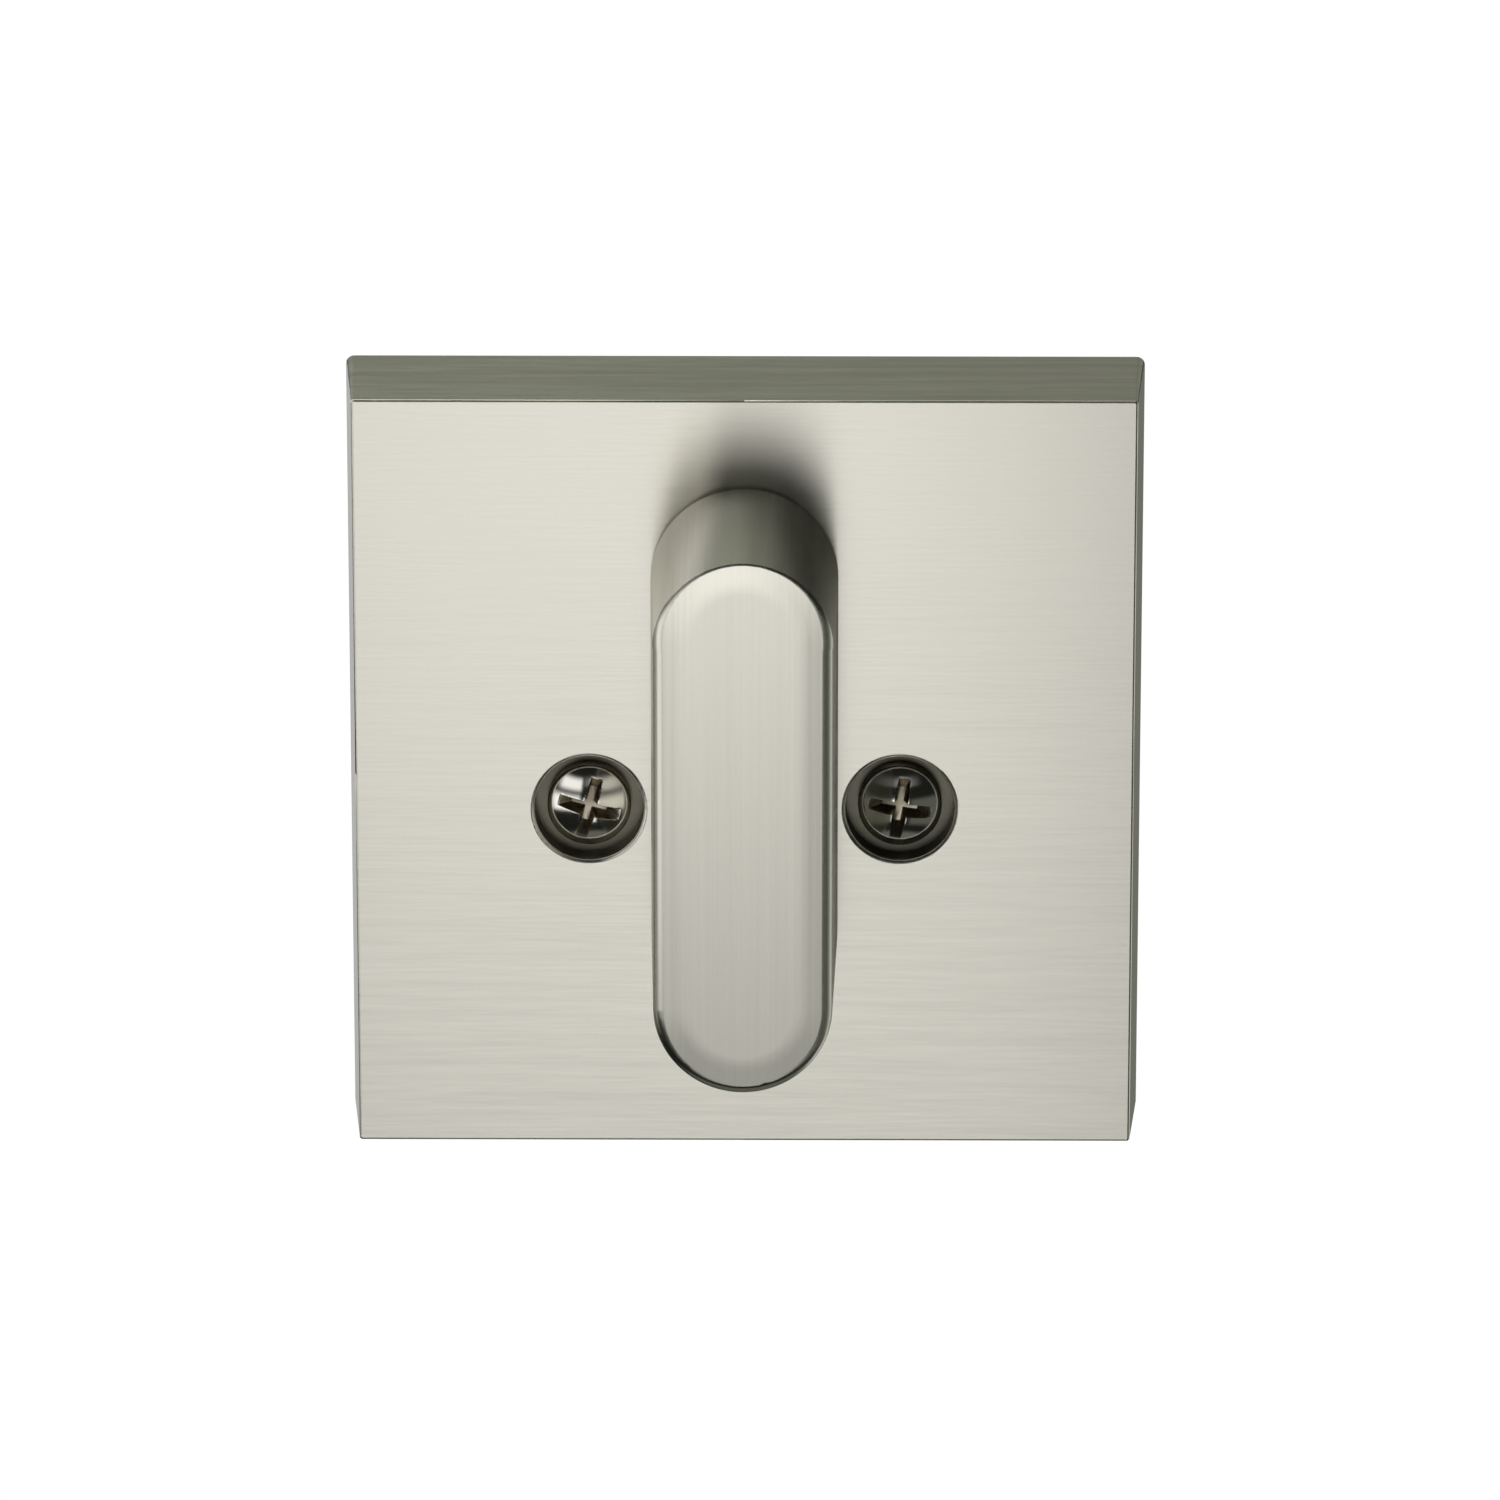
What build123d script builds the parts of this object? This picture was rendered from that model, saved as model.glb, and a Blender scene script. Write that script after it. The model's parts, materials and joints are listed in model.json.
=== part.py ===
from build123d import *
import os

# Inside thumbturn trim of a deadbolt. Millimetres, +X right, +Y into the door, +Z up.
# The origin is on the spindle's axis, in the plane of the door's face.

# Square rose plate, a hollow casting that flares slightly towards the door
plate_side = 65.0
plate_flare = 0.85
plate_rise = 3.0
front_corner = 0.25
back_edge_corner = 0.7
plate_edge = 0.2
front_wall = 3.5
side_wall = 3.5
cavity_corner = 3.0

# Solid stadium-shaped thumbturn, its long end above the spindle
turn_width = 15.6
turn_above = 28.05
turn_below = 18.55
turn_projection = 20.0
turn_draft = 0.45
turn_brow = 2.6
turn_brow_fall = 0.15
turn_brow_blend = 18.0
turn_front_edge = 0.95
turn_crisp_lift = 0.65
turn_crisp_flare = 1.0
turn_back_edge = 0.3
turn_gap = 0.3

# Spindle that carries the thumbturn, the cam and the tailpiece
spindle_radius = 4.0
spindle_seat = 12.0
spindle_flat = 3.2
spindle_tail = 6.0
groove_radius = 3.0
running_gap = 0.05

# Grub screw that locks the thumbturn on the spindle, from its lower end
grub_radius = 2.0
grub_length = 6.0
grub_socket = 1.1
grub_socket_depth = 2.0
grub_flat = 3.6
grub_flat_length = 6.0

# Bearing in the front wall
bush_wall = 1.45
bush_flange = 1.0
bush_flange_rim = 1.0
glide_radius = 6.7
glide_thickness = 1.0

# Cam, its stop lug and the washers behind the front wall
dish_height = 1.0
dish_thickness = 0.4
washer_radius = 6.0
cam_flats = 10.0
cam_corner_radius = 6.5
cam_thickness = 1.7
lug_hub_radius = 5.2
lug_reach = 8.2
lug_width = 3.0
lug_thickness = 1.3
lug_gap = 0.6
thrust_thickness = 0.5
ring_thickness = 0.8
ring_mouth = 4.0
washer_gap = 0.1

# Two-legged detent spring and the screw that holds it on its post
strip_thickness = 0.6
strip_inset = 0.1
leg_drop = 7.0
post_gap = 0.5
post_shoulder = 0.4
spring_screw_radius = 1.25
spring_screw_length = 2.6
spring_screw_head = 1.0

# Steel back plate, let into the back of the rose plate
back_thickness = 1.2
back_recess = 0.2
back_ledge = 1.6
back_play = 0.15
back_corner = 2.4
back_opening_gap = 0.6
stop_radius = 0.8
stop_offset = 7.6
stop_gap = 0.03
stop_inset = 0.1

# Four countersunk screws of the back plate
cover_screw_inset = 2.6
cover_screw_radius = 1.25
cover_screw_head = 2.8
cover_screw_length = 6.0
cover_post_radius = 3.2

# Two through-bolts, sunk in the rose plate
bolt_spacing = 26.0
bolt_radius = 2.0
bolt_neck = 1.6
bolt_length = 55.0
bolt_play = 0.2
bolt_tip = 0.5
head_radius = 3.5
head_height = 2.7
head_rim = 1.0
head_edge = 0.3
sink_radius = 4.55
sink_depth = 2.4
sink_floor = 1.6
sink_wall = 1.5
sink_edge = 0.35
boss_radius = 4.0
boss_play = 0.15
keeper_radius = 3.05
keeper_play = 0.05
keeper_thickness = 0.8
left_recess_turn = -15.0
right_recess_turn = -9.0

# Tailpiece that reaches into the bolt's cam inside the door
tail_width = 6.4
tail_thickness = 2.4
tail_reach = 55.0
tail_nose = 1.0
tail_seat = 0.4
tail_play = 0.05
tail_pin_radius = 0.8
tail_pin_depth = 3.2

# Cross recesses
bolt_recess_span = 5.0
bolt_recess_width = 1.2
bolt_recess_depth = 1.9
small_recess_span = 3.0
small_recess_width = 0.6
small_recess_depth = 0.8
recess_floor_share = 0.45

# Depths along Y, stacked from the front wall to the door's face
stack = bush_flange + dish_height + cam_thickness + lug_thickness
plate_depth = front_wall + stack + lug_gap + back_thickness + back_recess
front_y = -plate_depth
wall_y = front_y + front_wall
flange_y = wall_y + bush_flange
cam_y = flange_y + dish_height
lug_y = cam_y + cam_thickness
thrust_y = lug_y + lug_thickness
ring_y = thrust_y + thrust_thickness
ring_back_y = ring_y + ring_thickness
cover_back_y = -back_recess
cover_y = cover_back_y - back_thickness
glide_y = front_y - turn_gap + glide_thickness
turn_y = front_y - turn_gap
turn_front_y = turn_y - turn_projection
seat_y = turn_y - spindle_seat
sink_y = front_y + sink_depth
strip_y = cam_y + strip_inset
strip_back_y = lug_y - strip_inset

# Radii and places that follow from the sizes above
cavity_side = plate_side - 2 * side_wall
rebate_side = cavity_side + 2 * back_ledge
bush_radius = spindle_radius + running_gap + bush_wall
flange_radius = bush_radius + bush_flange_rim
pocket_radius = max(flange_radius, cam_corner_radius) + 2 * washer_gap
post_radius = cam_flats / 2
post_z = cam_corner_radius + post_gap + post_radius
strip_radius = post_radius + strip_thickness
cover_screw_offset = cavity_side / 2 - cover_screw_inset
stop_z = lug_width / 2 + stop_gap + stop_radius
grub_y = turn_y - spindle_seat / 2
bolt_places = [-bolt_spacing / 2, bolt_spacing / 2]
cover_screw_places = [
    (x * cover_screw_offset, plate_rise + z * cover_screw_offset)
    for x in (-1, 1)
    for z in (-1, 1)
]


def facing_room(y):
    """Plane at depth y whose sketch shows X right and Z up, seen from the room."""
    return Plane(origin=(0, y, 0), x_dir=(1, 0, 0), z_dir=(0, -1, 0))


def slab(sketch, front, back):
    """Straight solid of a sketch in X and Z, between two depths."""
    return extrude(facing_room(back) * sketch, amount=back - front)


def disc(radius, front, back, x=0.0, z=0.0):
    """Cylinder along Y between two depths."""
    return slab(Pos(x, z) * Circle(radius), front, back)


def washer(outer, inner, front, back, x=0.0, z=0.0):
    """Flat ring along Y between two depths."""
    return slab(Pos(x, z) * (Circle(outer) - Circle(inner)), front, back)


def turned(points):
    """Solid turned about the Y axis from a closed outline of radius and depth."""
    return revolve(make_face(Polyline(*points, close=True)), Axis.Y)


def cross_recess(span, width, depth, y, towards_door=True):
    """Tapered cross-shaped cut whose mouth is at depth y."""
    floor_y = y + depth if towards_door else y - depth
    narrow = recess_floor_share
    recess = Part()
    for turn in (0, 90):
        mouth = facing_room(y) * Rot(0, 0, turn) * Rectangle(span, width)
        floor = facing_room(floor_y) * Rot(0, 0, turn) * Rectangle(span * narrow, width * narrow)
        recess += loft([mouth, floor])
    return recess


def rose_shell():
    """Flared square block with rounded front edges and its back cavity and rebate."""
    back_side = plate_side + 2 * plate_flare
    middle = Pos(0, plate_rise)
    back = facing_room(0) * middle * RectangleRounded(back_side, back_side, back_edge_corner)
    front = facing_room(front_y) * middle * RectangleRounded(plate_side, plate_side, front_corner)
    block = loft([back, front], ruled=True)
    block = fillet(block.faces().sort_by(Axis.Y)[0].edges(), plate_edge)
    cavity = middle * RectangleRounded(cavity_side, cavity_side, cavity_corner)
    rebate = middle * RectangleRounded(rebate_side, rebate_side, back_corner)
    return block - slab(cavity, wall_y, 0) - slab(rebate, cover_y, 0)


def sunk_mouth(x):
    """Flared cut that leaves a rounded rim round a sunk bolt hole."""
    rim = sink_radius + sink_edge
    inner_y = front_y + sink_edge
    half = sink_edge * (1 - 0.5**0.5)
    outline = Polyline((0, front_y), (0, inner_y), (sink_radius, inner_y))
    outline += ThreePointArc((sink_radius, inner_y), (sink_radius + half, front_y + half), (rim, front_y))
    outline += Line((rim, front_y), (0, front_y))
    return Pos(x, 0, 0) * revolve(make_face(outline.edges()), Axis.Y)


def rose_plate():
    """Cover plate with its bosses, spring post, bearing hole and sunk bolt holes."""
    plate = rose_shell()
    for x in bolt_places:
        plate += disc(sink_radius + sink_wall, wall_y, sink_y + sink_floor, x)
        plate += disc(boss_radius, wall_y, cover_back_y, x)
    plate += disc(strip_radius + post_shoulder, wall_y, strip_y, 0, post_z)
    plate -= disc(pocket_radius, wall_y, lug_y)
    plate += disc(post_radius, wall_y, strip_back_y, 0, post_z)
    for x, z in cover_screw_places:
        plate += disc(cover_post_radius, wall_y, cover_y, x, z)
        plate -= Pos(x, 0, z) * cover_screw_blank()
    plate -= disc(spring_screw_radius, strip_back_y - spring_screw_length, strip_back_y, 0, post_z)
    plate -= disc(bush_radius, front_y, wall_y)
    plate -= disc(glide_radius, front_y, glide_y)
    for x in bolt_places:
        plate -= sunk_mouth(x)
        plate -= disc(sink_radius, front_y, sink_y, x)
        plate -= disc(bolt_radius + bolt_play, sink_y, cover_back_y, x)
        plate -= disc(keeper_radius + keeper_play, cover_back_y - keeper_thickness, cover_back_y, x)
    return plate


def bearing_bush():
    """Flanged sleeve in the front wall that the spindle turns in."""
    inner = spindle_radius + running_gap
    sleeve = washer(bush_radius, inner, glide_y, wall_y)
    return sleeve + washer(flange_radius, inner, wall_y, flange_y)


def glide_washer():
    """Washer let into the front face, proud of it, that the thumbturn slides on."""
    return washer(glide_radius, spindle_radius + washer_gap, turn_y, glide_y)


def turn_section():
    """Half section of the grip: drafted side, rounded edges and a front whose brow falls off softly."""
    half = turn_width / 2
    back = (half, turn_y)
    shoulder = (half - turn_draft, turn_front_y + turn_brow_fall)
    brow = (half - turn_draft - turn_brow, turn_front_y)
    section = make_face(Polyline((0, turn_y), back, shoulder, brow, (0, turn_front_y), close=True))
    for corner, radius in ((back, turn_back_edge), (shoulder, turn_front_edge), (brow, turn_brow_blend)):
        section = fillet(section.vertices().sort_by_distance(corner)[0], radius)
    return section


def turn_plain_section():
    """Half section of the grip before its front is rounded."""
    half = turn_width / 2
    back = (half, turn_y)
    front = (half - turn_draft, turn_front_y)
    section = make_face(Polyline((0, turn_y), back, front, (0, turn_front_y), close=True))
    return fillet(section.vertices().sort_by_distance(back)[0], turn_back_edge)


def turn_crisp_section():
    """Half section that rounds the front of the top end and stands clear of its side."""
    half = turn_width / 2
    foot = (half + turn_crisp_flare, turn_y)
    shoulder = (half - turn_draft, turn_front_y + turn_brow_fall)
    brow = (half - turn_draft - turn_brow, turn_front_y)
    section = make_face(Polyline((0, turn_y), foot, shoulder, brow, (0, turn_front_y), close=True))
    for corner, radius in ((shoulder, turn_front_edge), (brow, turn_brow_blend)):
        section = fillet(section.vertices().sort_by_distance(corner)[0], radius)
    return section


def turn_top_end():
    """Top end of the grip, whose rounded front edge fades to a crisp one at the crown."""
    plain = revolve(turn_plain_section(), Axis.Y, 180)
    section = turn_crisp_section()
    run = 2 * turn_crisp_lift
    straight = extrude(section + mirror(section, about=Plane.YZ), amount=run, dir=(0, 0, -1))
    rounded = Pos(0, 0, turn_crisp_lift) * straight
    rounded += Pos(0, 0, -turn_crisp_lift) * revolve(section, Axis.Y, 180)
    return Rot(0, 180, 0) * (plain & rounded)


def thumbturn():
    """Solid grip with the blind seat of the spindle and the grub screw's hole."""
    section = turn_section()
    top = turn_above - turn_width / 2
    bottom = turn_width / 2 - turn_below
    middle = extrude(section + mirror(section, about=Plane.YZ), amount=top - bottom, dir=(0, 0, 1))
    end = revolve(section, Axis.Y, 180)
    grip = Pos(0, 0, bottom) * middle + Pos(0, 0, bottom) * end + Pos(0, 0, top) * turn_top_end()
    grip -= disc(spindle_radius, seat_y, turn_y)
    grub_hole = Plane(origin=(0, grub_y, 0), z_dir=(0, 0, -1)) * Circle(grub_radius)
    return grip - extrude(grub_hole, amount=turn_below)


def grub_screw():
    """Set screw standing on the spindle's flat, its hexagon socket downwards."""
    tip = Plane(origin=(0, grub_y, -grub_flat), z_dir=(0, 0, -1))
    end = Plane(origin=(0, grub_y, -grub_flat - grub_length), z_dir=(0, 0, 1))
    screw = extrude(tip * Circle(grub_radius), amount=grub_length)
    return screw - extrude(end * RegularPolygon(grub_socket, 6), amount=grub_socket_depth)


def spindle_flats():
    """Sketch of what the two flats take off the round spindle."""
    outside = 2 * spindle_radius
    cut = Rectangle(outside, 2 * outside)
    shift = spindle_flat + outside / 2
    return Pos(shift, 0) * cut + Pos(-shift, 0) * cut


def spindle():
    """Round shaft with a grub screw flat, cam flats, ring groove and forked end."""
    shaft = disc(spindle_radius, seat_y, spindle_tail)
    shaft -= slab(spindle_flats(), cam_y, spindle_tail)
    shaft -= washer(2 * spindle_radius, groove_radius, ring_y, ring_back_y)
    shaft -= slab(Rectangle(tail_thickness + 2 * tail_play, 4 * spindle_radius), tail_seat, spindle_tail)
    below_flat = Pos(0, -grub_flat - spindle_radius) * Rectangle(4 * spindle_radius, 2 * spindle_radius)
    shaft -= slab(below_flat, grub_y - grub_flat_length / 2, grub_y + grub_flat_length / 2)
    return shaft - tailpiece_pin()


def dished_washer():
    """Conical spring washer between the bush's flange and the cam."""
    inner = spindle_radius + washer_gap
    outline = [
        (washer_radius, flange_y),
        (washer_radius, flange_y + dish_thickness),
        (inner, cam_y),
        (inner, cam_y - dish_thickness),
    ]
    return turned(outline)


def cam_bore():
    """Sketch of the cam's hole, round with two flats like the spindle."""
    return Circle(spindle_radius) - spindle_flats()


def detent_cam():
    """Square cam with its corners turned off, and a stop lug that points down at rest."""
    square = Rectangle(cam_flats, cam_flats) & Circle(cam_corner_radius)
    arm = Pos(0, -lug_reach / 2) * Rectangle(lug_width, lug_reach) & Circle(lug_reach)
    lug = Circle(lug_hub_radius) + arm
    return slab(square - cam_bore(), cam_y, lug_y) + slab(lug - cam_bore(), lug_y, thrust_y)


def thrust_washer():
    """Flat washer between the cam and the retaining ring."""
    return washer(washer_radius, spindle_radius + running_gap, thrust_y, ring_y)


def retaining_ring():
    """Open ring snapped into the spindle's groove."""
    mouth = Pos(0, washer_radius) * Rectangle(ring_mouth, 2 * washer_radius)
    return slab(Circle(washer_radius) - Circle(groove_radius) - mouth, ring_y, ring_back_y)


def detent_spring():
    """Strip bent round its post, with one leg flat against each side of the cam."""
    bend = Pos(0, post_z) * (Circle(strip_radius) - Circle(post_radius))
    bend -= Pos(0, post_z - strip_radius) * Rectangle(2 * strip_radius, 2 * strip_radius)
    leg = Rectangle(strip_thickness, post_z + leg_drop)
    leg_x = post_radius + strip_thickness / 2
    leg_z = (post_z - leg_drop) / 2
    strip = bend + Pos(leg_x, leg_z) * leg + Pos(-leg_x, leg_z) * leg
    return slab(strip, strip_y, strip_back_y)


def spring_screw():
    """Wide-headed screw on the post that keeps the spring from slipping off."""
    head_y = strip_back_y + spring_screw_head
    screw = disc(strip_radius, strip_back_y, head_y)
    screw += disc(spring_screw_radius, strip_back_y - spring_screw_length, strip_back_y)
    screw -= cross_recess(small_recess_span, small_recess_width, small_recess_depth, head_y, False)
    return Pos(0, 0, post_z) * screw


def cover_screw_blank():
    """Countersunk screw on the Y axis, flush with the outside of the back plate."""
    neck_y = cover_back_y - (cover_screw_head - cover_screw_radius)
    tip_y = cover_back_y - cover_screw_length
    outline = [
        (0, cover_back_y),
        (cover_screw_head, cover_back_y),
        (cover_screw_radius, neck_y),
        (cover_screw_radius, tip_y),
        (0, tip_y),
    ]
    return turned(outline)


def back_plate_screws():
    """Four countersunk screws that hold the back plate in its rebate."""
    recess = cross_recess(small_recess_span, small_recess_width, small_recess_depth, cover_back_y, False)
    screw = cover_screw_blank() - recess
    return Compound([Pos(x, 0, z) * screw for x, z in cover_screw_places])


def stop_pins():
    """Two pins riveted in the back plate, where the cam's lug ends its travel."""
    front = lug_y + stop_inset
    return Compound([disc(stop_radius, front, cover_back_y, x, stop_z) for x in (-stop_offset, stop_offset)])


def back_plate():
    """Flat cover with a clear opening round the spindle and holes for bosses, pins and screws."""
    side = rebate_side - 2 * back_play
    outline = Pos(0, plate_rise) * RectangleRounded(side, side, back_corner)
    outline -= Circle(washer_radius + back_opening_gap)
    for x in bolt_places:
        outline -= Pos(x, 0) * Circle(boss_radius + boss_play)
    for x in (-stop_offset, stop_offset):
        outline -= Pos(x, stop_z) * Circle(stop_radius)
    plate = slab(outline, cover_y, cover_back_y)
    for x, z in cover_screw_places:
        plate -= Pos(x, 0, z) * cover_screw_blank()
    return plate


def through_bolt(x, recess_turn):
    """Long bolt with a domed head, a cross recess and a slim neck inside the plate."""
    crown_y = sink_y - head_height
    rim_y = sink_y - head_rim
    tip_y = sink_y + bolt_length
    rise = head_height - head_rim
    dome_radius = (head_radius**2 + rise**2) / (2 * rise)
    half = head_radius / 2
    half_y = crown_y + dome_radius - (dome_radius**2 - half**2) ** 0.5
    chamfer_y = tip_y - bolt_tip
    thread_y = cover_back_y / 2
    shank = [(0, crown_y), (0, tip_y), (bolt_radius - bolt_tip, tip_y), (bolt_radius, chamfer_y)]
    neck = [(bolt_radius, thread_y), (bolt_neck, thread_y), (bolt_neck, sink_y)]
    outline = Polyline(*shank, *neck, (head_radius, sink_y), (head_radius, rim_y))
    outline += ThreePointArc((head_radius, rim_y), (half, half_y), (0, crown_y))
    section = make_face(outline.edges())
    section = fillet(section.vertices().sort_by_distance((head_radius, rim_y))[0], head_edge)
    bolt = revolve(section, Axis.Y)
    recess = cross_recess(bolt_recess_span, bolt_recess_width, bolt_recess_depth, crown_y)
    return Pos(x, 0, 0) * (bolt - Rot(0, -recess_turn, 0) * recess)


def bolt_keeper(x):
    """Washer on a bolt's neck, in the boss, that keeps the bolt in the plate off the door."""
    return washer(keeper_radius, bolt_neck, cover_back_y - keeper_thickness, cover_back_y, x)


def tailpiece():
    """Flat bar pinned in the spindle's fork, with a tapered nose."""
    half = tail_width / 2
    nose = half - tail_nose
    outline = Polyline(
        (tail_seat, -half),
        (tail_reach - tail_nose, -half),
        (tail_reach, -nose),
        (tail_reach, nose),
        (tail_reach - tail_nose, half),
        (tail_seat, half),
        close=True,
    )
    side_view = Plane(origin=(0, 0, 0), x_dir=(0, 1, 0), z_dir=(1, 0, 0))
    bar = extrude(side_view * make_face(outline), amount=tail_thickness / 2, both=True)
    return bar - tailpiece_pin()


def tailpiece_pin():
    """Cross pin through the fork and the tailpiece, flush with the flats."""
    side_view = Plane(origin=(0, tail_pin_depth, 0), x_dir=(0, 1, 0), z_dir=(1, 0, 0))
    return extrude(side_view * Circle(tail_pin_radius), amount=spindle_flat, both=True)


NODES = {
    "rose_plate": rose_plate(),
    "bearing_bush": bearing_bush(),
    "glide_washer": glide_washer(),
    "thumbturn": thumbturn(),
    "grub_screw": grub_screw(),
    "spindle": spindle(),
    "dished_washer": dished_washer(),
    "detent_cam": detent_cam(),
    "thrust_washer": thrust_washer(),
    "retaining_ring": retaining_ring(),
    "detent_spring": detent_spring(),
    "spring_screw": spring_screw(),
    "back_plate": back_plate(),
    "back_plate_screws": back_plate_screws(),
    "stop_pins": stop_pins(),
    "through_bolt_left": through_bolt(bolt_places[0], left_recess_turn),
    "through_bolt_right": through_bolt(bolt_places[1], right_recess_turn),
    "bolt_keeper_left": bolt_keeper(bolt_places[0]),
    "bolt_keeper_right": bolt_keeper(bolt_places[1]),
    "tailpiece": tailpiece(),
    "tailpiece_pin": tailpiece_pin(),
}

os.makedirs("parts", exist_ok=True)
for name, piece in NODES.items():
    export_step(piece, f"parts/{name}.step")
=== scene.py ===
import json
import math

import bmesh
import bpy
from mathutils import Matrix, Vector


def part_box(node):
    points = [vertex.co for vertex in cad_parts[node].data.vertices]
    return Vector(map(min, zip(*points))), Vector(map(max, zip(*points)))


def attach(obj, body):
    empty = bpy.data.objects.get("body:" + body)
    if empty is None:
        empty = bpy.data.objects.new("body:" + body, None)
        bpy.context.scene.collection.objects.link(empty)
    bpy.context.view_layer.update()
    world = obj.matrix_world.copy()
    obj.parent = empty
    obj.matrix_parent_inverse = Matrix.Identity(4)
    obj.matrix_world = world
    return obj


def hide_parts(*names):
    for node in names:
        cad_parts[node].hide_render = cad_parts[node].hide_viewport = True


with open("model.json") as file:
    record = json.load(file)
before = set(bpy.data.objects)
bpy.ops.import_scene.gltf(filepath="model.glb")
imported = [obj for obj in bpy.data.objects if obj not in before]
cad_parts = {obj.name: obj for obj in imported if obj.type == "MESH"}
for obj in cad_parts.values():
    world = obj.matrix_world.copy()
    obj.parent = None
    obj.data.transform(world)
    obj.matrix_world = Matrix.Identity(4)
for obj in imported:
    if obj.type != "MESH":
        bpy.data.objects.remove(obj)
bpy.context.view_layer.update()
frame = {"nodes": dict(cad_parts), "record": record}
MM = 0.001

# Camera of the photograph, aimed a little above the middle of the rose plate's front face
VIEW_ELEVATION = math.radians(18.05)
VIEW_AZIMUTH = math.radians(0.4)
VIEW_DISTANCE = 0.8534
VIEW_LENS = 245.5
SENSOR_WIDTH = 36.0
NEAREST_SEEN = 0.01
AIM_ASIDE = 0.46 * MM
AIM_ABOVE = 2.19 * MM

# Studio
WORLD_FILL = 0.6
FLOOR_DROP = 0.60
FLOOR_SIZE = 6.0
FLOOR_ROUGHNESS = 0.9
FLOOR_GLOW = 1.05
FLOOR_GLOW_SHARE = 0.95
TENT_RADIUS = 0.45
TENT_STEPS_ROUND = 72
TENT_STEPS_UP = 36

# Soft areas inside the light tent, in degrees: the azimuths at which one starts, is full,
# starts to fade and has gone, the same for its elevations, and its strength.
# Azimuth 0 is straight in front, negative to the left, and 180 is behind.
WHITE_AREAS = {
    "bounce_card": ((-13, -9, 8, 12), (-44, -40, -2, 3), 0.62),
    "bounce_card_middle": ((-13, -9, 1, 12), (-27, -4, -3, 1), 1.27),
    "low_card": ((2, 7, 8, 12), (-44, -40, -35, -30), 0.50),
    "left_softbox": ((-79, -60, -22, -15), (-25, -17, -4, 12), 1.12),
    "upper_left_softbox": ((-66, -50, -19, -14), (8, 20, 28, 40), 1.02),
    "upper_softbox": ((-20, -1, 9, 50), (20, 25, 30, 44), 0.20),
    "left_rear_softbox": ((-153, -133, -102, -98), (-8, -4, 62, 93), 1.40),
    "right_rear_card": ((85, 108, 137, 141), (-59, -53, -8, 31), 0.70),
    "white_behind": ((-190, -185, -150, -140), (-30, -22, -6, 0), 0.50),
}
OLIVE_AREAS = {
    "rear_left_top": ((-215, -204, -103, -99), (53, 62, 104, 111), 1.39),
    "rear_right_top": ((99, 103, 211, 232), (50, 67, 102, 106), 0.60),
    "grey_behind": ((120, 150, 200, 210), (0, 8, 44, 62), 0.205),
    "grey_left_behind": ((-210, -200, -158, -145), (0, 8, 44, 62), 0.185),
    "right_behind": ((130, 150, 200, 210), (-60, -40, -6, 0), 0.16),
    "right_cloth": ((16, 26, 76, 92), (-50, -40, -4, 4), 0.09),
    "right_side": ((66, 80, 104, 116), (-40, -25, 40, 60), 0.20),
    "left_side": ((-104, -97, -84, -76), (-40, -25, 40, 60), 0.42),
    "cloth_below": ((-210, -200, 200, 210), (-110, -100, -66, -56), 0.12),
    "all_round": ((-210, -200, 200, 210), (-110, -100, 100, 110), 0.012),
}

# Screw holes of the rose plate, inside which the plate's colour is drawn darker as painted shade
HOLE_RADIUS = 4.55 * MM
HOLE_RIM = 0.35 * MM
HOLE_SHADE_START = 0.1 * MM

# Through-bolts
HEAD_RADIUS = 3.5 * MM
HEAD_RISE = 1.25 * MM
HEAD_DOME = (HEAD_RADIUS**2 + HEAD_RISE**2) / (2 * HEAD_RISE)
HEAD_RIM = 1.45 * MM
HEAD_EDGE = 0.3 * MM
NECK_RADIUS = 1.6 * MM
THREAD_START = -0.1 * MM
THREAD_CREST = 2.0 * MM
THREAD_ROOT = 1.62 * MM
THREAD_PITCH = 0.7 * MM
THREAD_ROOT_FLAT = 0.12
THREAD_FLANK = 0.7
TIP_CHAMFER = 0.5 * MM
RECESS_SPAN = 6.6 * MM
RECESS_WIDTH = 1.2 * MM
RECESS_DEPTH = 1.9 * MM
RECESS_FLOOR_SHARE = 0.45
RECESS_BREAK = 0.09 * MM
RECESS_BREAK_ANGLE = math.radians(35)
RECESS_TURNS = {"left": -15.0, "right": -9.0}
# Depths over which the painted shade in the cross recess sets in
RECESS_SHADE_START = 0.1 * MM
RECESS_SHADE_FULL = 0.35 * MM
SHARP_ANGLE = math.radians(38)
DOME_STEPS = 24
EDGE_STEPS = 6
HEAD_STEPS = 96
THREAD_STEPS = 36
RINGS_PER_PITCH = 8

# Colours
WHITE = (1.0, 1.0, 1.0)
OLIVE = (0.95, 1.0, 0.85)
PALE_FLOOR = (0.85, 0.85, 0.85)
NICKEL = (0.74, 0.722, 0.642)
# Darker copy of the nickel for the thumbturn's front face: painted shade
SHADED_FRONT_NICKEL = (0.68, 0.664, 0.588)
BRIGHT_NICKEL = (0.84, 0.815, 0.75)
# Painted shade in the cross recesses of the screw heads
RECESS_SHADE = (0.34, 0.30, 0.235)
# Painted shade inside the sunk screw holes of the rose plate
HOLE_SHADE = (0.24, 0.228, 0.18)
STEEL = (0.56, 0.57, 0.58)
DARK_STEEL = (0.10, 0.10, 0.11)
NYLON = (0.78, 0.76, 0.69)

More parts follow.
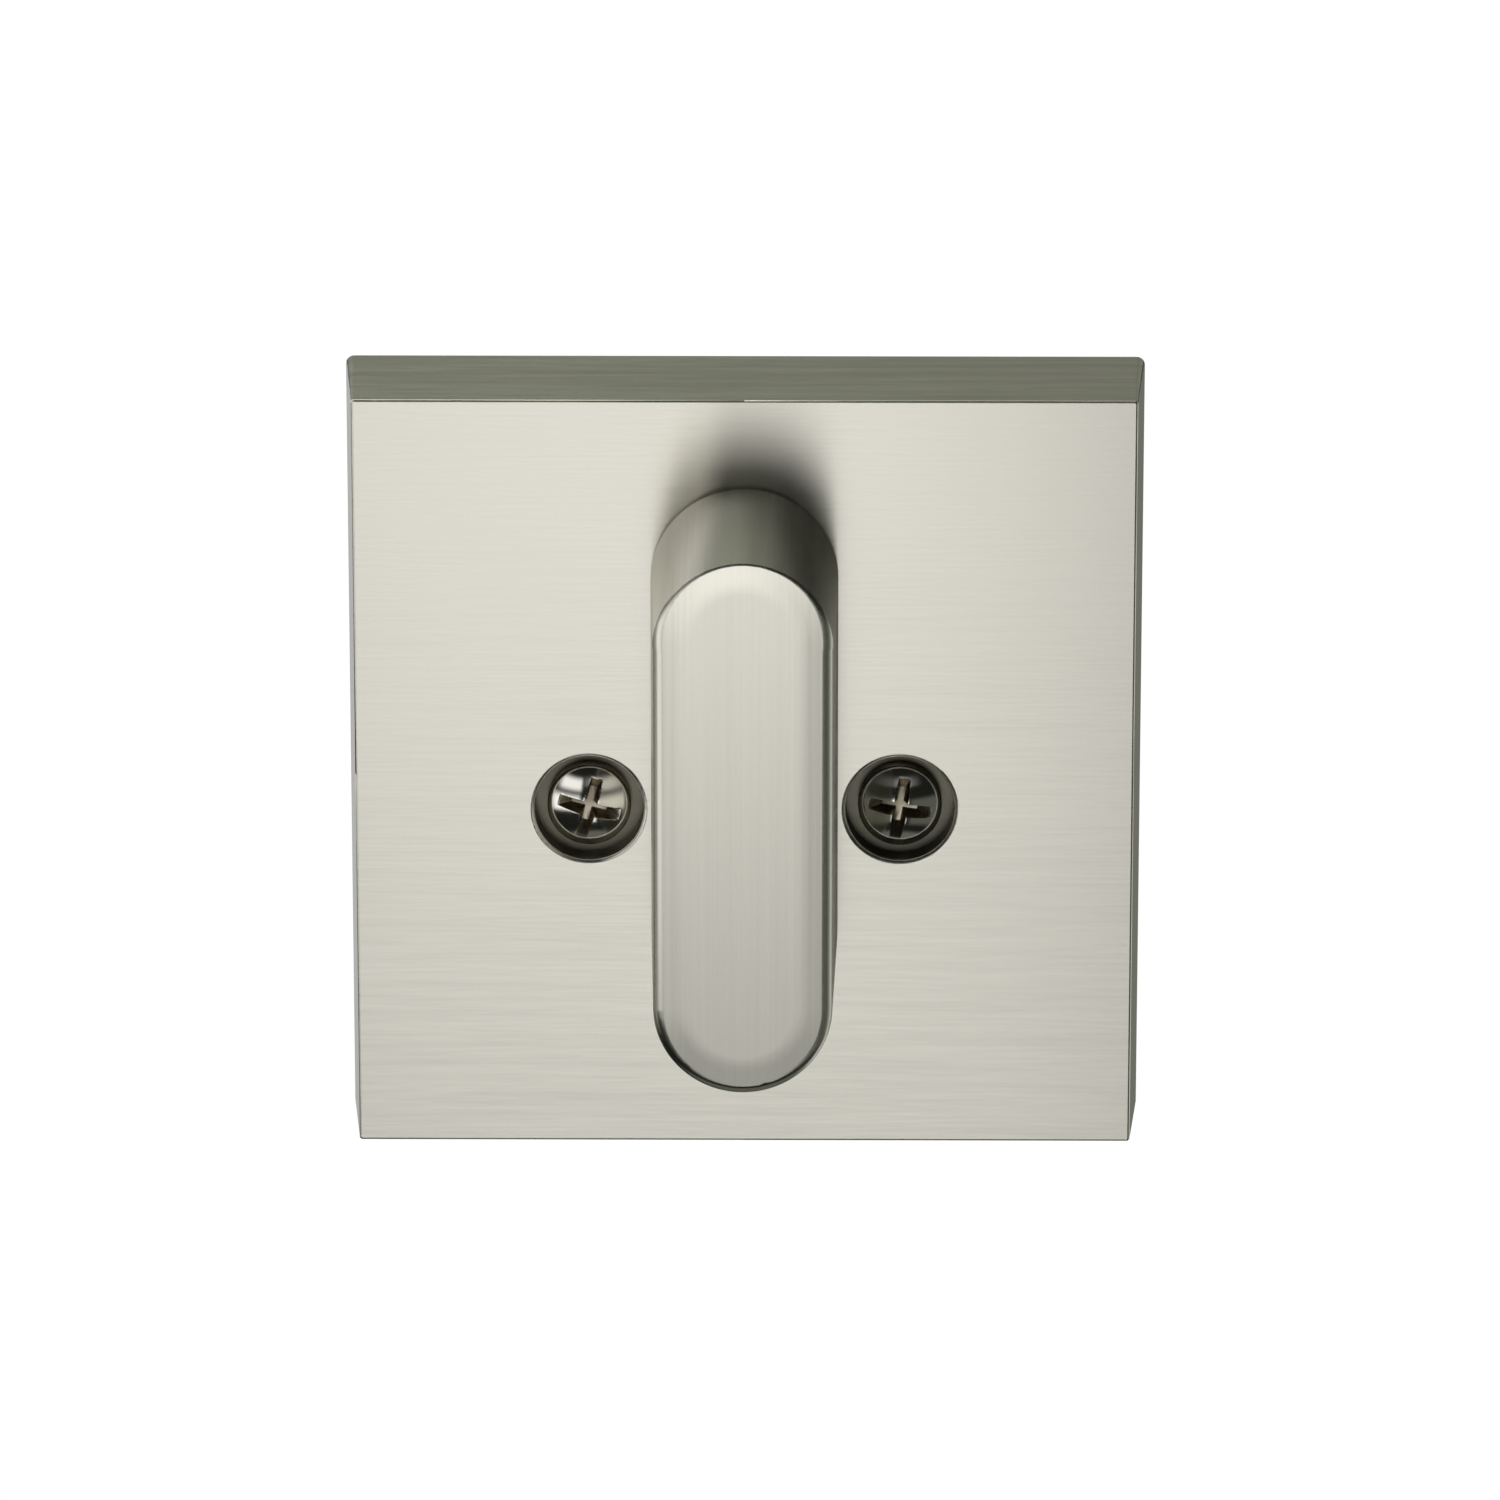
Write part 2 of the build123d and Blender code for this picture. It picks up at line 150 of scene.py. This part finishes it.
# Finishes: how strongly highlights are drawn out, which way they are, roughness and relief
PLATE_DRAWN_OUT = 0.9
PLATE_SPREAD = (0.0, 0.3, 1.0)
HOLE_EXTRA_ROUGHNESS = 0.15
TURN_DRAWN_OUT = 0.85
TURN_FRONT_SPREAD = (1.0, -0.35, 0.0)
TURN_SIDE_SPREAD = (0.0, 1.0, 0.0)
TURN_SIDE_ROUGHNESS = 0.30
TURN_FRONT_FROM = 0.35
TURN_FRONT_FULL = 0.85
RECESS_EXTRA_ROUGHNESS = 0.12
GRAIN_RELIEF = 0.002 * MM
WEAR_RELIEF = 0.004 * MM


def rgba(colour):
    """Colour with full alpha."""
    return (*colour, 1.0)


def math_node(tree, operation, *values):
    """Math node whose inputs are sockets or constants."""
    node = tree.nodes.new("ShaderNodeMath")
    node.operation = operation
    for socket, value in zip(node.inputs, values):
        if isinstance(value, (int, float)):
            socket.default_value = value
        else:
            tree.links.new(value, socket)
    return node.outputs[0]


def vector_node(tree, operation, *values):
    """Vector math node whose inputs are sockets or constants."""
    node = tree.nodes.new("ShaderNodeVectorMath")
    node.operation = operation
    for socket, value in zip(node.inputs, values):
        if isinstance(value, (tuple, list)):
            socket.default_value = value
        else:
            tree.links.new(value, socket)
    return node


def ramp_node(tree, value, low, high, to_low=0.0, to_high=1.0, smooth=True):
    """Value mapped from one range to another, with soft ends unless they are turned off."""
    node = tree.nodes.new("ShaderNodeMapRange")
    node.interpolation_type = "SMOOTHSTEP" if smooth else "LINEAR"
    ends = {"From Min": low, "From Max": high, "To Min": to_low, "To Max": to_high}
    for name, number in ends.items():
        node.inputs[name].default_value = number
    tree.links.new(value, node.inputs["Value"])
    return node.outputs["Result"]


def noise_node(tree, vector, scale, detail):
    """Noise texture at a place."""
    node = tree.nodes.new("ShaderNodeTexNoise")
    node.inputs["Scale"].default_value = scale
    node.inputs["Detail"].default_value = detail
    tree.links.new(vector, node.inputs["Vector"])
    return node.outputs["Fac"]


def mix_colour(tree, factor, first, second):
    """Colour mix of two colours or sockets."""
    node = tree.nodes.new("ShaderNodeMix")
    node.data_type = "RGBA"
    tree.links.new(factor, node.inputs["Factor"])
    for socket, value in ((node.inputs[6], first), (node.inputs[7], second)):
        if isinstance(value, (tuple, list)):
            socket.default_value = rgba(value)
        else:
            tree.links.new(value, socket)
    return node.outputs[2]


def object_place(tree):
    """Place on the piece, in metres."""
    return tree.nodes.new("ShaderNodeTexCoord").outputs["Object"]


# Shared shader groups

def new_group(name, inputs, outputs):
    """Empty shader group with named sockets."""
    group = bpy.data.node_groups.new(name, "ShaderNodeTree")
    for socket, kind, value in inputs:
        made = group.interface.new_socket(socket, in_out="INPUT", socket_type=kind)
        made.default_value = value
    for socket in outputs:
        group.interface.new_socket(socket, in_out="OUTPUT", socket_type="NodeSocketFloat")
    given = group.nodes.new("NodeGroupInput").outputs
    result = group.nodes.new("NodeGroupOutput").inputs
    return group, given, result


def make_brushed_grain():
    """Fine straight streaks: their tint, their roughness and their height."""
    group, given, result = new_group(
        "brushed_grain",
        [
            ("Lines", "NodeSocketVector", (60.0, 3000.0, 3000.0)),
            ("Rough", "NodeSocketFloat", 0.3),
            ("Rough Spread", "NodeSocketFloat", 0.06),
            ("Tint Spread", "NodeSocketFloat", 0.05),
        ],
        ["Tint", "Roughness", "Height"],
    )
    stretched = vector_node(group, "MULTIPLY", object_place(group), given["Lines"]).outputs[0]
    fine = noise_node(group, stretched, 1.0, 2.0)
    wide = noise_node(group, stretched, 0.27, 1.0)
    both = math_node(group, "ADD", fine, wide)
    centred = math_node(group, "SUBTRACT", both, 1.0)
    tint = math_node(group, "MULTIPLY_ADD", centred, given["Tint Spread"], 1.0)
    rough = math_node(group, "MULTIPLY_ADD", centred, given["Rough Spread"], given["Rough"])
    group.links.new(tint, result["Tint"])
    group.links.new(rough, result["Roughness"])
    group.links.new(centred, result["Height"])
    return group


def make_fine_wear():
    """Soft cloudy change of tint and roughness, for plain plated or moulded pieces."""
    group, given, result = new_group(
        "fine_wear",
        [("Rough", "NodeSocketFloat", 0.3), ("Spread", "NodeSocketFloat", 0.1)],
        ["Tint", "Roughness", "Height"],
    )
    place = object_place(group)
    cloud = noise_node(group, place, 160.0, 3.0)
    speck = noise_node(group, place, 2600.0, 2.0)
    both = math_node(group, "ADD", cloud, speck)
    centred = math_node(group, "SUBTRACT", both, 1.0)
    tint = math_node(group, "MULTIPLY_ADD", centred, given["Spread"], 1.0)
    rough = math_node(group, "MULTIPLY_ADD", centred, given["Spread"], given["Rough"])
    group.links.new(tint, result["Tint"])
    group.links.new(rough, result["Roughness"])
    group.links.new(speck, result["Height"])
    return group


BRUSHED_GRAIN = make_brushed_grain()
FINE_WEAR = make_fine_wear()


def new_material(name, metallic=1.0, drawn_out=0.0, spread_along=None):
    """Principled material, whose drawn-out highlights run along a direction fixed to the piece."""
    material = bpy.data.materials.new(name)
    material.use_nodes = True
    tree = material.node_tree
    shader = tree.nodes["Principled BSDF"]
    shader.inputs["Metallic"].default_value = metallic
    shader.inputs["Anisotropic"].default_value = drawn_out
    if spread_along:
        turn = tree.nodes.new("ShaderNodeVectorTransform")
        turn.name = "Spread"
        turn.vector_type = "VECTOR"
        turn.convert_from = "OBJECT"
        turn.convert_to = "WORLD"
        turn.inputs[0].default_value = spread_along
        tree.links.new(turn.outputs[0], shader.inputs["Tangent"])
    return material, tree, shader


def use_group(tree, group, **values):
    """Group node with its constants."""
    node = tree.nodes.new("ShaderNodeGroup")
    node.node_tree = group
    for name, value in values.items():
        node.inputs[name.replace("_", " ")].default_value = value
    return node.outputs


def tinted(tree, colour, tint):
    """Colour made lighter or darker by a factor."""
    node = vector_node(tree, "SCALE", colour)
    tree.links.new(tint, node.inputs["Scale"])
    return node.outputs[0]


def add_bump(tree, shader, height, depth):
    """Relief from a height value."""
    bump = tree.nodes.new("ShaderNodeBump")
    bump.inputs["Strength"].default_value = 1.0
    bump.inputs["Distance"].default_value = depth
    tree.links.new(height, bump.inputs["Height"])
    tree.links.new(bump.outputs["Normal"], shader.inputs["Normal"])


def hole_shade_mask(tree):
    """Painted-shade mask: 1 inside the two sunk screw holes, where the plate's colour is drawn darker
    as shade, 0 on the rest of the rose plate.
    """
    place = object_place(tree)
    axis = sum(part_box("through_bolt_right"), Vector()) / 2
    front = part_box("rose_plate")[0].y
    folded = vector_node(tree, "ABSOLUTE", place).outputs[0]
    from_axis = vector_node(tree, "SUBTRACT", folded, (axis.x, 0.0, 0.0)).outputs[0]
    flat = vector_node(tree, "MULTIPLY", from_axis, (1.0, 0.0, 1.0)).outputs[0]
    radius = vector_node(tree, "LENGTH", flat).outputs["Value"]
    inside = ramp_node(tree, radius, HOLE_RADIUS + HOLE_RIM, HOLE_RADIUS)
    depth = vector_node(tree, "DOT_PRODUCT", place, (0.0, 1.0, 0.0)).outputs["Value"]
    sunk = ramp_node(tree, depth, front + HOLE_SHADE_START, front + HOLE_RIM)
    return math_node(tree, "MULTIPLY", inside, sunk)


def plate_nickel():
    """Satin nickel of the rose plate, brushed across, with painted shade and more roughness inside the
    screw holes.
    """
    material, tree, shader = new_material("plate_nickel", 1.0, PLATE_DRAWN_OUT, PLATE_SPREAD)
    grain = use_group(
        tree,
        BRUSHED_GRAIN,
        Lines=(170.0, 4000.0, 4000.0),
        Rough=0.235,
        Rough_Spread=0.05,
        Tint_Spread=0.22,
    )
    mask = hole_shade_mask(tree)
    brushed = tinted(tree, NICKEL, grain["Tint"])
    # Painted shade: inside the screw holes the base colour turns to HOLE_SHADE
    tree.links.new(mix_colour(tree, mask, brushed, HOLE_SHADE), shader.inputs["Base Color"])
    rough = math_node(tree, "MULTIPLY_ADD", mask, HOLE_EXTRA_ROUGHNESS, grain["Roughness"])
    tree.links.new(rough, shader.inputs["Roughness"])
    add_bump(tree, shader, grain["Height"], GRAIN_RELIEF)
    return material


def turn_nickel():
    """Satin nickel of the thumbturn: brushed along its front and around its sides, with the front face
    in a darker copy of the nickel as painted shade.
    """
    material, tree, shader = new_material("turn_nickel", 1.0, TURN_DRAWN_OUT, TURN_FRONT_SPREAD)
    grain = use_group(
        tree,
        BRUSHED_GRAIN,
        Lines=(2600.0, 40.0, 34.0),
        Rough=0.22,
        Rough_Spread=0.05,
        Tint_Spread=0.22,
    )
    normal = tree.nodes.new("ShaderNodeTexCoord").outputs["Normal"]
    facing = vector_node(tree, "DOT_PRODUCT", normal, (0.0, -1.0, 0.0)).outputs["Value"]
    front = ramp_node(tree, facing, TURN_FRONT_FROM, TURN_FRONT_FULL)
    rough = tree.nodes.new("ShaderNodeMix")
    rough.inputs["A"].default_value = TURN_SIDE_ROUGHNESS
    tree.links.new(front, rough.inputs["Factor"])
    tree.links.new(grain["Roughness"], rough.inputs["B"])
    tree.links.new(rough.outputs["Result"], shader.inputs["Roughness"])
    along = tree.nodes.new("ShaderNodeMix")
    along.data_type = "VECTOR"
    along.inputs[4].default_value = TURN_SIDE_SPREAD
    along.inputs[5].default_value = TURN_FRONT_SPREAD
    tree.links.new(front, along.inputs[0])
    tree.links.new(along.outputs[1], tree.nodes["Spread"].inputs[0])
    # Painted shade: the front face takes the darker nickel, while the sides and end take the plain one
    metal = mix_colour(tree, front, NICKEL, SHADED_FRONT_NICKEL)
    tree.links.new(tinted(tree, metal, grain["Tint"]), shader.inputs["Base Color"])
    height = math_node(tree, "MULTIPLY", grain["Height"], front)
    add_bump(tree, shader, height, GRAIN_RELIEF)
    return material


def bright_nickel():
    """Bright nickel of the screws, with painted shade and more roughness in the cross recess."""
    material, tree, shader = new_material("bright_nickel")
    wear = use_group(tree, FINE_WEAR, Rough=0.11, Spread=0.05)
    place = object_place(tree)
    folded = vector_node(tree, "ABSOLUTE", place).outputs[0]
    low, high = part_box("through_bolt_right")
    middle = ((low.x + high.x) / 2, low.y + HEAD_DOME, 0.0)
    upright = vector_node(tree, "MULTIPLY", place, (0.0, 1.0, 1.0)).outputs[0]
    sideways = vector_node(tree, "MULTIPLY", folded, (1.0, 0.0, 0.0)).outputs[0]
    one_side = vector_node(tree, "ADD", upright, sideways).outputs[0]
    reach = vector_node(tree, "DISTANCE", one_side, middle).outputs["Value"]
    # Painted shade: the cross recess is drawn darker in RECESS_SHADE
    sunk = ramp_node(tree, reach, HEAD_DOME - RECESS_SHADE_START, HEAD_DOME - RECESS_SHADE_FULL)
    bright = tinted(tree, BRIGHT_NICKEL, wear["Tint"])
    tree.links.new(mix_colour(tree, sunk, bright, RECESS_SHADE), shader.inputs["Base Color"])
    rough = math_node(tree, "MULTIPLY_ADD", sunk, RECESS_EXTRA_ROUGHNESS, wear["Roughness"])
    tree.links.new(rough, shader.inputs["Roughness"])
    return material


def plain_finish(name, metallic, colour, rough, spread):
    """Plain finish of the hidden pieces, plated or moulded, a little cloudy."""
    material, tree, shader = new_material(name, metallic)
    wear = use_group(tree, FINE_WEAR, Rough=rough, Spread=spread)
    tree.links.new(tinted(tree, colour, wear["Tint"]), shader.inputs["Base Color"])
    tree.links.new(wear["Roughness"], shader.inputs["Roughness"])
    add_bump(tree, shader, wear["Height"], WEAR_RELIEF)
    return material


FINISHES = {
    "satin_nickel": plate_nickel(),
    "bright_nickel": bright_nickel(),
    "plain_steel": plain_finish("zinc_steel", 1.0, STEEL, 0.34, 0.12),
    "dark_steel": plain_finish("dark_steel", 1.0, DARK_STEEL, 0.38, 0.12),
    "nylon": plain_finish("natural_nylon", 0.0, NYLON, 0.45, 0.06),
}


def dress(node, material):
    """Gives a CAD piece its finish."""
    mesh = frame["nodes"][node].data
    mesh.materials.clear()
    mesh.materials.append(material)


for subpart in frame["record"]["subparts"]:
    dress(subpart["node"], FINISHES[subpart["material_slot"]])
dress("thumbturn", turn_nickel())


def mesh_from(shape, name):
    """Mesh of a finished shape."""
    mesh = bpy.data.meshes.new(name)
    shape.to_mesh(mesh)
    shape.free()
    return mesh


def new_object(name, data):
    """Object in the scene."""
    made = bpy.data.objects.new(name, data)
    bpy.context.scene.collection.objects.link(made)
    return made


# Through-bolts with broken recess edges and cut threads

def head_outline(crown):
    """Radius and depth of a bolt's head and neck, from the middle of its crown to the neck's end."""
    inner = HEAD_RADIUS - HEAD_EDGE
    centre = crown + HEAD_DOME
    round_middle = centre - math.sqrt((HEAD_DOME - HEAD_EDGE) ** 2 - inner**2)
    meet = math.atan2(inner, centre - round_middle)
    points = []
    for step in range(1, DOME_STEPS + 1):
        angle = meet * step / DOME_STEPS
        points.append((HEAD_DOME * math.sin(angle), centre - HEAD_DOME * math.cos(angle)))
    for step in range(1, EDGE_STEPS + 1):
        angle = meet + (math.pi / 2 - meet) * step / EDGE_STEPS
        radius = inner + HEAD_EDGE * math.sin(angle)
        points.append((radius, round_middle - HEAD_EDGE * math.cos(angle)))
    seat = crown + HEAD_RISE + HEAD_RIM
    points += [(HEAD_RADIUS, seat), (NECK_RADIUS, seat), (NECK_RADIUS, THREAD_START)]
    return points


def ring_point(shape, middle, radius, depth, angle):
    """Point on a ring about a bolt's axis."""
    return shape.verts.new((middle + radius * math.cos(angle), depth, radius * math.sin(angle)))


def close_rings(shape, first, rings, last):
    """Faces of a closed body from its first point through its rings to its last point."""
    steps = len(rings[0])
    for here in range(steps):
        following = (here + 1) % steps
        shape.faces.new((first, rings[0][here], rings[0][following]))
        for near, far in zip(rings, rings[1:]):
            shape.faces.new((near[here], far[here], far[following], near[following]))
        shape.faces.new((rings[-1][here], last, rings[-1][following]))
    bmesh.ops.recalc_face_normals(shape, faces=shape.faces)


def turned_shape(outline, crown, middle):
    """Closed body turned about a bolt's axis from its outline."""
    shape = bmesh.new()
    turns = [2 * math.pi * step / HEAD_STEPS for step in range(HEAD_STEPS)]
    top = shape.verts.new((middle, crown, 0.0))
    rings = []
    for radius, depth in outline:
        rings.append([ring_point(shape, middle, radius, depth, angle) for angle in turns])
    end = shape.verts.new((middle, outline[-1][1], 0.0))
    close_rings(shape, top, rings, end)
    return shape


def thread_shape(middle, tip):
    """A bolt's threaded length, with a chamfered tip."""
    shape = bmesh.new()
    count = int((tip - THREAD_START) / THREAD_PITCH * RINGS_PER_PITCH)
    rings = []
    for step in range(count + 1):
        depth = THREAD_START + (tip - THREAD_START) * step / count
        most = min(THREAD_CREST, THREAD_CREST - TIP_CHAMFER + tip - depth)
        ring = []
        for place in range(THREAD_STEPS):
            phase = ((depth - THREAD_START) / THREAD_PITCH - place / THREAD_STEPS) % 1.0
            rise = (1 - abs(2 * phase - 1) - THREAD_ROOT_FLAT) / THREAD_FLANK
            rise = min(1.0, max(0.0, rise))
            radius = min(most, THREAD_ROOT + (THREAD_CREST - THREAD_ROOT) * rise)
            ring.append(ring_point(shape, middle, radius, depth, 2 * math.pi * place / THREAD_STEPS))
        rings.append(ring)
    start = shape.verts.new((middle, THREAD_START, 0.0))
    end = shape.verts.new((middle, tip, 0.0))
    close_rings(shape, start, rings, end)
    return shape


def recess_cutter(name, crown, middle, turn, across):
    """One wing pair of a tapered cross recess, as a cutting body."""
    shape = bmesh.new()
    ends = (
        (crown - RECESS_DEPTH, 2 - RECESS_FLOOR_SHARE),
        (crown + RECESS_DEPTH, RECESS_FLOOR_SHARE),
    )
    corners = []
    for depth, share in ends:
        along = RECESS_SPAN / 2 * share
        aside = RECESS_WIDTH / 2 * share
        if across:
            along, aside = aside, along
        spread = ((-along, -aside), (along, -aside), (along, aside), (-along, aside))
        corners.append([shape.verts.new((x, depth, z)) for x, z in spread])
    near, far = corners
    shape.faces.new(near[::-1])
    shape.faces.new(far)
    for here in range(4):
        following = (here + 1) % 4
        shape.faces.new((near[here], near[following], far[following], far[here]))
    bmesh.ops.recalc_face_normals(shape, faces=shape.faces)
    about_axis = Matrix.Rotation(math.radians(-turn), 4, "Y")
    bmesh.ops.transform(shape, matrix=about_axis, verts=shape.verts)
    bmesh.ops.translate(shape, vec=(middle, 0.0, 0.0), verts=shape.verts)
    return new_object(name, mesh_from(shape, name))


def cut_head(name, crown, middle, turn):
    """Mesh of a bolt's head and neck, with its cross recess cut and the recess's edges broken."""
    shape = turned_shape(head_outline(crown), crown, middle)
    head = new_object(name, mesh_from(shape, name))
    cutters = [recess_cutter(name + "_recess", crown, middle, turn, across) for across in (False, True)]
    for cutter in cutters:
        cut = head.modifiers.new("recess", "BOOLEAN")
        cut.operation = "DIFFERENCE"
        cut.solver = "EXACT"
        cut.object = cutter
    broken = head.modifiers.new("broken_edges", "BEVEL")
    broken.width = RECESS_BREAK
    broken.segments = 2
    broken.limit_method = "ANGLE"
    broken.angle_limit = RECESS_BREAK_ANGLE
    evaluated = head.evaluated_get(bpy.context.evaluated_depsgraph_get())
    made = bpy.data.meshes.new_from_object(evaluated)
    for spent in [head] + cutters:
        bpy.data.objects.remove(spent)
    return made


def make_bolt(side, material):
    """Through-bolt with its cut head and its thread."""
    node = "through_bolt_" + side
    low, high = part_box(node)
    middle = (low.x + high.x) / 2
    head = cut_head(node + "_head", low.y, middle, RECESS_TURNS[side])
    thread = mesh_from(thread_shape(middle, high.y), node + "_thread")
    shape = bmesh.new()
    for length in (head, thread):
        shape.from_mesh(length)
        bpy.data.meshes.remove(length)
    mesh = mesh_from(shape, side + "_bolt")
    mesh.materials.clear()
    mesh.materials.append(material)
    mesh.shade_smooth()
    mesh.set_sharp_from_angle(angle=SHARP_ANGLE)
    bolt = new_object(side + "_bolt", mesh)
    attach(bolt, "trim")
    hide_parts(node)


for side in RECESS_TURNS:
    make_bolt(side, FINISHES["bright_nickel"])


# Studio

def background_rays(tree):
    """1 on rays that see the background: camera, glossy and transmission."""
    path = tree.nodes.new("ShaderNodeLightPath").outputs
    seen = math_node(tree, "MAXIMUM", path["Is Camera Ray"], path["Is Glossy Ray"])
    return math_node(tree, "MAXIMUM", seen, path["Is Transmission Ray"])


def make_world():
    """White to the eye and to metal, and a plainer fill for everything else."""
    world = bpy.data.worlds.new("studio")
    bpy.context.scene.world = world
    world.use_nodes = True
    tree = world.node_tree
    back = tree.nodes["Background"]
    back.inputs["Color"].default_value = rgba(WHITE)
    strength = ramp_node(tree, background_rays(tree), 0.0, 1.0, WORLD_FILL, 1.0, False)
    tree.links.new(strength, back.inputs["Strength"])


def make_floor():
    """Pale floor, far below, that fills the view with white."""
    material, tree, shader = new_material("pale_floor", 0.0)
    shader.inputs["Base Color"].default_value = rgba(PALE_FLOOR)
    shader.inputs["Roughness"].default_value = FLOOR_ROUGHNESS
    glow = tree.nodes.new("ShaderNodeEmission")
    glow.inputs["Strength"].default_value = FLOOR_GLOW
    mix = tree.nodes.new("ShaderNodeMixShader")
    share = math_node(tree, "MULTIPLY", background_rays(tree), FLOOR_GLOW_SHARE)
    tree.links.new(share, mix.inputs["Fac"])
    tree.links.new(shader.outputs[0], mix.inputs[1])
    tree.links.new(glow.outputs[0], mix.inputs[2])
    tree.links.new(mix.outputs[0], tree.nodes["Material Output"].inputs["Surface"])
    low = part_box("rose_plate")[0].z - FLOOR_DROP
    half = FLOOR_SIZE / 2
    corners = [(-half, -half, low), (half, -half, low), (half, half, low), (-half, half, low)]
    mesh = bpy.data.meshes.new("floor")
    mesh.from_pydata(corners, [], [(0, 1, 2, 3)])
    mesh.materials.append(material)
    floor = new_object("floor", mesh)


def soft_window(tree, value, corners):
    """1 inside a range, easing to 0 outside it."""
    start, full, fade, end = (math.radians(corner) for corner in corners)
    rise = ramp_node(tree, value, start, full)
    fall = ramp_node(tree, value, end, fade)
    return math_node(tree, "MULTIPLY", rise, fall)


def area_glow(tree, areas, azimuth, elevation, colour):
    """Light of some soft areas of the tent."""
    total = 0.0
    for azimuths, elevations, strength in areas.values():
        across = soft_window(tree, azimuth, azimuths)
        upwards = soft_window(tree, elevation, elevations)
        inside = math_node(tree, "MULTIPLY", across, upwards)
        total = math_node(tree, "MULTIPLY_ADD", inside, strength, total)
    glow = tree.nodes.new("ShaderNodeEmission")
    glow.inputs["Color"].default_value = rgba(colour)
    tree.links.new(total, glow.inputs["Strength"])
    return glow.outputs[0]


def make_tent():
    """Round light tent, unseen by the camera, with softboxes, cards and dim cloth between them."""
    material = bpy.data.materials.new("light_tent")
    material.use_nodes = True
    tree = material.node_tree
    tree.nodes.remove(tree.nodes["Principled BSDF"])
    place = tree.nodes.new("ShaderNodeSeparateXYZ")
    outwards = vector_node(tree, "NORMALIZE", object_place(tree)).outputs[0]
    tree.links.new(outwards, place.inputs[0])
    forwards = math_node(tree, "MULTIPLY", place.outputs["Y"], -1.0)
    azimuth = math_node(tree, "ARCTAN2", place.outputs["X"], forwards)
    elevation = math_node(tree, "ARCSINE", place.outputs["Z"])
    both = tree.nodes.new("ShaderNodeAddShader")
    tree.links.new(area_glow(tree, WHITE_AREAS, azimuth, elevation, WHITE), both.inputs[0])
    tree.links.new(area_glow(tree, OLIVE_AREAS, azimuth, elevation, OLIVE), both.inputs[1])
    tree.links.new(both.outputs[0], tree.nodes["Material Output"].inputs["Surface"])
    ball = bmesh.new()
    bmesh.ops.create_uvsphere(
        ball, u_segments=TENT_STEPS_ROUND, v_segments=TENT_STEPS_UP, radius=TENT_RADIUS
    )
    mesh = mesh_from(ball, "light_tent")
    mesh.materials.append(material)
    tent = new_object("light_tent", mesh)
    tent.location = (0.0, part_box("rose_plate")[0].y, 0.0)
    tent.visible_camera = False


def make_camera():
    """Camera of the photograph."""
    low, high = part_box("rose_plate")
    aim = Vector(((low.x + high.x) / 2 + AIM_ASIDE, low.y, (low.z + high.z) / 2 + AIM_ABOVE))
    level = math.cos(VIEW_ELEVATION)
    aside = math.sin(VIEW_AZIMUTH) * level
    forward = math.cos(VIEW_AZIMUTH) * level
    way = Vector((aside, -forward, math.sin(VIEW_ELEVATION)))
    data = bpy.data.cameras.new("camera")
    data.lens = VIEW_LENS
    data.sensor_width = SENSOR_WIDTH
    data.clip_start = NEAREST_SEEN
    camera = new_object("camera", data)
    camera.location = aim + way * VIEW_DISTANCE
    camera.rotation_euler = way.to_track_quat("Z", "Y").to_euler()
    bpy.context.scene.camera = camera


bpy.context.scene.view_settings.view_transform = "Standard"
make_camera()
make_world()
make_floor()
make_tent()
